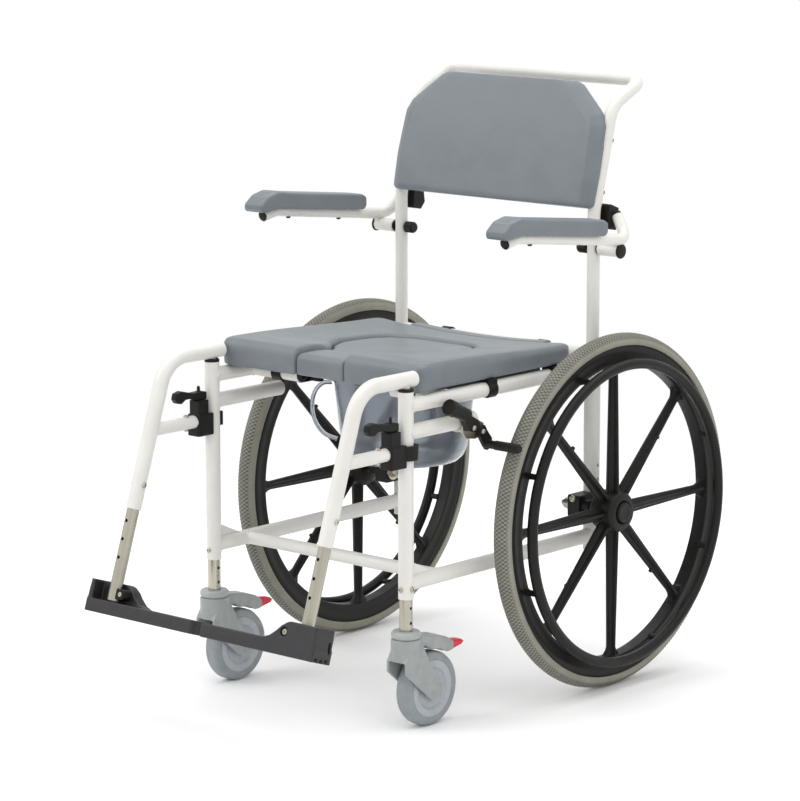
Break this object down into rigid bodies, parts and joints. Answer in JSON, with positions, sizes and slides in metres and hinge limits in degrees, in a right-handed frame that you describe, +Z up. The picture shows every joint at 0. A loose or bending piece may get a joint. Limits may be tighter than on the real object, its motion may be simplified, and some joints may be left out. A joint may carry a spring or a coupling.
{
  "type": "self-propelled commode chair",
  "caption": "Shower and commode chair with large rear wheels, locking front casters, swing-away legrests, flip-up armrests, padded seat with lift-out plug and slide-out pan.",
  "frame": {"origin": "middle of the footprint, on the floor", "axes": "+Z up, -Y the way the sitter faces, +X to the sitter's left"},
  "size_m": [0.664, 1.0314, 1.033],
  "materials": {
    "white_enamel": "satin",
    "zinc_steel": "satin",
    "black_plastic": "satin",
    "charcoal_plastic": "matte",
    "grey_foam": "matte",
    "grey_tyre": "matte",
    "grey_rubber": "matte",
    "fork_grey": "satin",
    "hub_grey": "satin",
    "pale_grey_plastic": "satin",
    "red_plastic": "satin",
    "smoke_plastic": "satin"
  },
  "bodies": {
    "frame": {"front_posts": "white_enamel", "rear_posts": "white_enamel", "back_tube": "white_enamel", "side_rails": "white_enamel", "stub_rails": "white_enamel", "lower_rails": "white_enamel", "lower_cross_tube": "white_enamel", "rear_cross_tube": "white_enamel", "seat_stubs": "white_enamel", "gussets": "white_enamel", "tube_plugs": "black_plastic", "frame_screws": "zinc_steel", "caster_stems": "zinc_steel", "caster_collars": "pale_grey_plastic", "axle_brackets": "black_plastic", "axles": "zinc_steel", "wheel_bearings": "zinc_steel", "arm_pivots": "black_plastic", "seat_pad": "grey_foam", "backrest_pad": "grey_foam", "pad_clips": "black_plastic", "pan_rails": "black_plastic", "brake_clamp": "zinc_steel"},
    "brake_lever": {"brake_lever": "black_plastic"},
    "brake_shoe": {"brake_shoe": "black_plastic"},
    "seat_plug": {"seat_plug": "grey_foam"},
    "pan": {"pan": "smoke_plastic", "pan_handle": "smoke_plastic"},
    "wheel_left": {"tyre_left": "grey_tyre", "wheel_left": "black_plastic", "handrim_left": "black_plastic", "hub_cap_left": "black_plastic"},
    "caster_left": {"caster_fork_left": "fork_grey"},
    "caster_wheel_left": {"caster_hub_left": "hub_grey", "caster_tread_left": "grey_rubber"},
    "caster_pedal_left": {"caster_pedal_left": "red_plastic"},
    "legrest_left": {"leg_hanger_left": "white_enamel", "leg_mouldings_left": "black_plastic", "leg_extension_left": "zinc_steel"},
    "latch_lever_left": {"latch_lever_left": "black_plastic"},
    "footplate_left": {"footplate_left": "charcoal_plastic"},
    "armrest_left": {"arm_tube_left": "white_enamel", "arm_pad_left": "grey_foam", "arm_fittings_left": "black_plastic"},
    "wheel_right": {"tyre_right": "grey_tyre", "wheel_right": "black_plastic", "handrim_right": "black_plastic", "hub_cap_right": "black_plastic"},
    "caster_right": {"caster_fork_right": "fork_grey"},
    "caster_wheel_right": {"caster_hub_right": "hub_grey", "caster_tread_right": "grey_rubber"},
    "caster_pedal_right": {"caster_pedal_right": "red_plastic"},
    "legrest_right": {"leg_hanger_right": "white_enamel", "leg_mouldings_right": "black_plastic", "leg_extension_right": "zinc_steel"},
    "latch_lever_right": {"latch_lever_right": "black_plastic"},
    "footplate_right": {"footplate_right": "charcoal_plastic"},
    "armrest_right": {"arm_tube_right": "white_enamel", "arm_pad_right": "grey_foam", "arm_fittings_right": "black_plastic"}
  },
  "joints": [
    {"name": "wheel_spin_left", "type": "hinge", "parent": "frame", "child": "wheel_left", "pos_m": [0.292, 0.21075, 0.305], "axis": [1, 0, 0], "continuous": true},
    {"name": "caster_swivel_left", "type": "hinge", "parent": "frame", "child": "caster_left", "pos_m": [0.2185, -0.23625, 0.13], "axis": [0, 0, 1], "continuous": true},
    {"name": "caster_roll_left", "type": "hinge", "parent": "caster_left", "child": "caster_wheel_left", "pos_m": [0.2185, -0.18625, 0.0625], "axis": [1, 0, 0], "continuous": true},
    {"name": "caster_brake_left", "type": "hinge", "parent": "caster_left", "child": "caster_pedal_left", "pos_m": [0.2185, -0.14625, 0.125], "axis": [-1, 0, 0], "range_deg": [0, 15]},
    {"name": "legrest_swing_left", "type": "hinge", "parent": "frame", "child": "legrest_left", "pos_m": [0.2185, -0.23625, 0.466], "axis": [0, 0, 1], "range_deg": [0, 90]},
    {"name": "latch_turn_left", "type": "hinge", "parent": "legrest_left", "child": "latch_lever_left", "pos_m": [0.2165, -0.27125, 0.5], "axis": [0, 0, 1], "range_deg": [0, 30], "stiffness_Nm_per_rad": 0.05},
    {"name": "footplate_flip_left", "type": "hinge", "parent": "legrest_left", "child": "footplate_left", "pos_m": [0.1975, -0.47255, 0.20362], "axis": [0, 0.9483, -0.3173], "range_deg": [0, 90]},
    {"name": "armrest_flip_left", "type": "hinge", "parent": "frame", "child": "armrest_left", "pos_m": [0.253, 0.24775, 0.745], "axis": [-1, 0, 0], "range_deg": [0, 100]},
    {"name": "wheel_spin_right", "type": "hinge", "parent": "frame", "child": "wheel_right", "pos_m": [-0.292, 0.21075, 0.305], "axis": [1, 0, 0], "continuous": true},
    {"name": "caster_swivel_right", "type": "hinge", "parent": "frame", "child": "caster_right", "pos_m": [-0.2185, -0.23625, 0.13], "axis": [0, 0, 1], "continuous": true},
    {"name": "caster_roll_right", "type": "hinge", "parent": "caster_right", "child": "caster_wheel_right", "pos_m": [-0.2185, -0.18625, 0.0625], "axis": [1, 0, 0], "continuous": true},
    {"name": "caster_brake_right", "type": "hinge", "parent": "caster_right", "child": "caster_pedal_right", "pos_m": [-0.2185, -0.14625, 0.125], "axis": [-1, 0, 0], "range_deg": [0, 15]},
    {"name": "legrest_swing_right", "type": "hinge", "parent": "frame", "child": "legrest_right", "pos_m": [-0.2185, -0.23625, 0.466], "axis": [0, 0, -1], "range_deg": [0, 90]},
    {"name": "latch_turn_right", "type": "hinge", "parent": "legrest_right", "child": "latch_lever_right", "pos_m": [-0.2165, -0.27125, 0.5], "axis": [0, 0, -1], "range_deg": [0, 30], "stiffness_Nm_per_rad": 0.05},
    {"name": "footplate_flip_right", "type": "hinge", "parent": "legrest_right", "child": "footplate_right", "pos_m": [-0.1975, -0.47255, 0.20362], "axis": [0, -0.9483, 0.3173], "range_deg": [0, 90]},
    {"name": "armrest_flip_right", "type": "hinge", "parent": "frame", "child": "armrest_right", "pos_m": [-0.253, 0.24775, 0.745], "axis": [-1, 0, 0], "range_deg": [0, 100]},
    {"name": "brake_turn", "type": "hinge", "parent": "frame", "child": "brake_lever", "pos_m": [0.245, -0.10625, 0.489], "axis": [-1, 0, 0], "range_deg": [0, 50]},
    {"name": "shoe_turn", "type": "hinge", "parent": "frame", "child": "brake_shoe", "pos_m": [0.245, -0.07625, 0.478], "axis": [-1, 0, 0], "range_deg": [0, 12.5]},
    {"name": "pan_slide", "type": "slide", "parent": "frame", "child": "pan", "axis": [0, 1, 0], "range_m": [0, 0.32]},
    {"name": "plug_lift", "type": "slide", "parent": "frame", "child": "seat_plug", "axis": [0, 0, 1], "range_m": [0, 0.12]}
  ],
  "couplings": [
    {"joint": "shoe_turn", "follows": "brake_turn", "ratio": 0.25}
  ]
}
